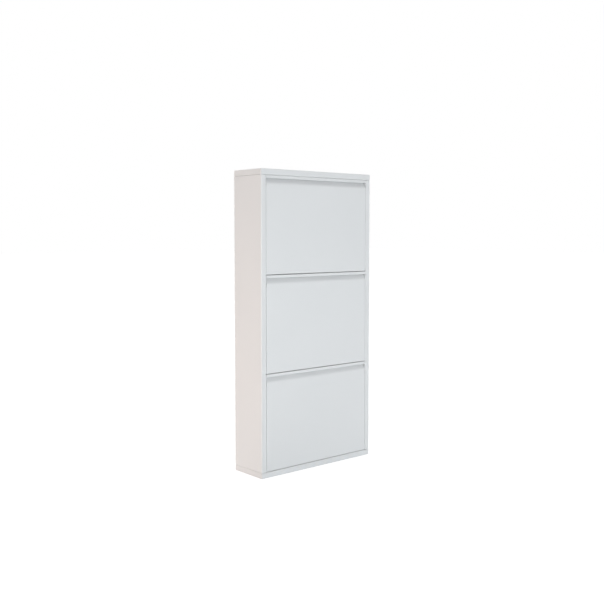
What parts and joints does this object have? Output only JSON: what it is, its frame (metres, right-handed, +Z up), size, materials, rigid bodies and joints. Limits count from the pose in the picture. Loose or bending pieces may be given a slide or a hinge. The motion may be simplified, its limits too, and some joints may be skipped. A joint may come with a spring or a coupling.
{
  "type": "shoe cabinet",
  "caption": "Slim tall sheet-steel shoe cabinet with equal tilting bins one above the other, a lip and finger groove along each door, and a plain border.",
  "frame": {"origin": "middle of the cabinet's footprint, on the floor", "axes": "+Z up; +Y towards the wall, so the doors face -Y; +X to the right of someone facing the doors"},
  "size_m": [0.5, 0.15, 1.03],
  "materials": {
    "painted_steel": "white satin powder coat",
    "zinc_steel": "zinc plated",
    "nylon": "natural nylon",
    "glide_plastic": "black moulded plastic",
    "buffer_rubber": "grey soft rubber"
  },
  "bodies": {
    "cabinet": {"top_tray": "painted_steel", "base_tray": "painted_steel", "back_panel": "painted_steel", "side_panel_left": "painted_steel", "wall_plate_left": "zinc_steel", "glide_front_left": "glide_plastic", "top_screw_front_left": "zinc_steel", "base_screw_front_left": "zinc_steel", "glide_rear_left": "glide_plastic", "top_screw_rear_left": "zinc_steel", "base_screw_rear_left": "zinc_steel", "lower_bush_left": "nylon", "lower_buffer_left": "buffer_rubber", "middle_bush_left": "nylon", "middle_buffer_left": "buffer_rubber", "upper_bush_left": "nylon", "upper_buffer_left": "buffer_rubber", "side_panel_right": "painted_steel", "wall_plate_right": "zinc_steel", "glide_front_right": "glide_plastic", "top_screw_front_right": "zinc_steel", "base_screw_front_right": "zinc_steel", "glide_rear_right": "glide_plastic", "top_screw_rear_right": "zinc_steel", "base_screw_rear_right": "zinc_steel", "lower_bush_right": "nylon", "lower_buffer_right": "buffer_rubber", "middle_bush_right": "nylon", "middle_buffer_right": "buffer_rubber", "upper_bush_right": "nylon", "upper_buffer_right": "buffer_rubber"},
    "lower_bin": {"lower_door_front": "painted_steel", "lower_shoe_tray": "painted_steel", "lower_rod": "zinc_steel", "lower_cheek_left": "painted_steel", "lower_pivot_pin_left": "zinc_steel", "lower_stop_stud_left": "nylon", "lower_cheek_right": "painted_steel", "lower_pivot_pin_right": "zinc_steel", "lower_stop_stud_right": "nylon"},
    "middle_bin": {"middle_door_front": "painted_steel", "middle_shoe_tray": "painted_steel", "middle_rod": "zinc_steel", "middle_cheek_left": "painted_steel", "middle_pivot_pin_left": "zinc_steel", "middle_stop_stud_left": "nylon", "middle_cheek_right": "painted_steel", "middle_pivot_pin_right": "zinc_steel", "middle_stop_stud_right": "nylon"},
    "upper_bin": {"upper_door_front": "painted_steel", "upper_shoe_tray": "painted_steel", "upper_rod": "zinc_steel", "upper_cheek_left": "painted_steel", "upper_pivot_pin_left": "zinc_steel", "upper_stop_stud_left": "nylon", "upper_cheek_right": "painted_steel", "upper_pivot_pin_right": "zinc_steel", "upper_stop_stud_right": "nylon"}
  },
  "joints": [
    {"name": "lower_tilt", "type": "hinge", "parent": "cabinet", "child": "lower_bin", "pos_m": [0, -0.069, 0.0415], "axis": [1, 0, 0], "range_deg": [0, 50]},
    {"name": "middle_tilt", "type": "hinge", "parent": "cabinet", "child": "middle_bin", "pos_m": [0, -0.069, 0.3715], "axis": [1, 0, 0], "range_deg": [0, 50]},
    {"name": "upper_tilt", "type": "hinge", "parent": "cabinet", "child": "upper_bin", "pos_m": [0, -0.069, 0.7015], "axis": [1, 0, 0], "range_deg": [0, 50]}
  ]
}
